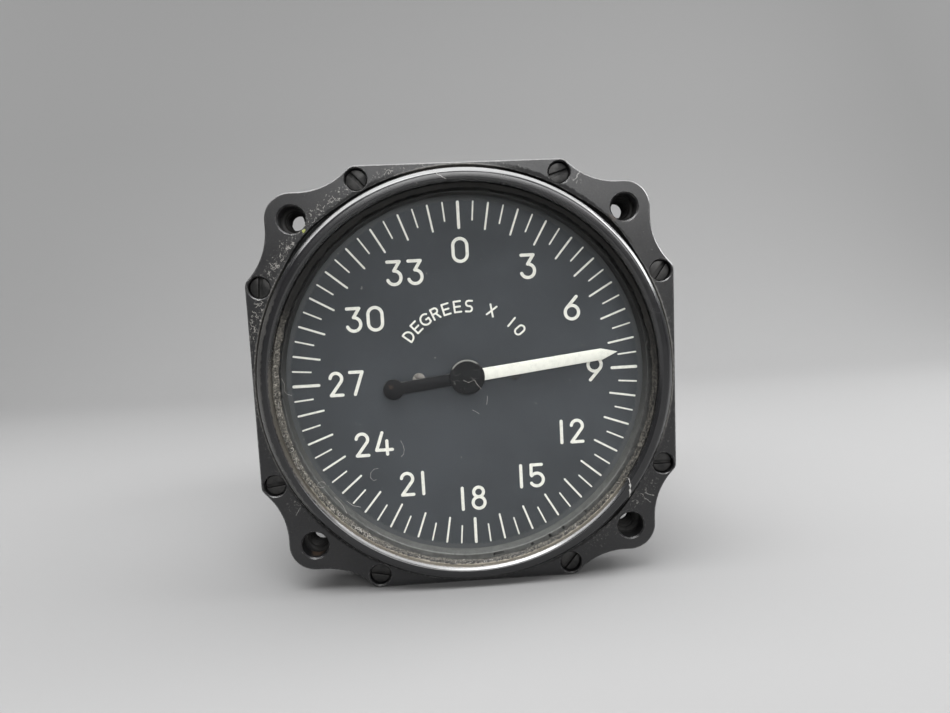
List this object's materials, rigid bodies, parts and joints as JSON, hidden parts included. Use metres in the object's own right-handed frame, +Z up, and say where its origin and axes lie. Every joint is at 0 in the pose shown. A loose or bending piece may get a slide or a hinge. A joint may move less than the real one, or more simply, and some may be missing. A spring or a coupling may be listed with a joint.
{
  "type": "radio compass indicator",
  "caption": "Round-dial panel indicator in a square scalloped flange: one pointer over a compass scale, driven by a synchro in a closed round case with a rear connector.",
  "frame": {"origin": "centre of the mounting hole pattern, in the flange's front face where it meets the back of the panel", "axes": "-Y out of the dial towards the viewer, +Z up through the scale's zero, +X to the viewer's right"},
  "size_m": [0.0818, 0.1034, 0.0818],
  "materials": {
    "black_paint": "satin black enamel, worn",
    "dial_black": "matt black",
    "cream_paint": "matt cream",
    "steel": "bright machined",
    "dark_steel": "blackened",
    "glass": "clear, scratched",
    "compound": "rough sealing compound",
    "rubber": "matt",
    "alloy": "machined",
    "brass": "machined",
    "copper": "varnished winding",
    "phenolic": "laminated board",
    "carbon": "carbon brush",
    "insulation": "lead covering"
  },
  "bodies": {
    "case": {"bezel": "black_paint", "bezel_gasket": "rubber", "bezel_screws": "dark_steel", "cover_glass": "glass", "glass_seal": "compound", "seat_ring": "dark_steel", "dial_plate": "dial_black", "dial_markings": "cream_paint", "dial_screws": "steel", "case": "black_paint", "mount_inserts": "dark_steel", "movement_plate": "alloy", "movement_screws": "steel", "synchro_clamps": "steel", "clamp_screws": "steel", "front_bell": "alloy", "synchro_housing": "alloy", "rear_bell": "alloy", "bell_screws": "steel", "stator_core": "dark_steel", "stator_winding": "copper", "front_outer_race": "steel", "front_balls": "steel", "rear_outer_race": "steel", "rear_balls": "steel", "brush_block": "phenolic", "brushes": "carbon", "brush_springs": "steel", "terminal_board": "phenolic", "board_screws": "steel", "terminal_posts": "brass", "leads": "insulation", "connector_gasket": "rubber", "connector_shell": "alloy", "connector_insert": "phenolic", "connector_pins": "brass", "connector_screws": "steel"},
    "pointer": {"pointer_blade": "cream_paint", "pointer_hub": "black_paint", "front_inner_race": "steel", "rear_inner_race": "steel", "rotor_shaft": "steel", "rotor_core": "dark_steel", "rotor_winding": "copper", "slip_ring_sleeve": "phenolic", "slip_rings": "brass", "shaft_collar": "steel"}
  },
  "joints": [
    {"name": "pointer_spin", "type": "hinge", "parent": "case", "child": "pointer", "pos_m": [0, 0, 0], "axis": [0, 1, 0], "continuous": true}
  ]
}
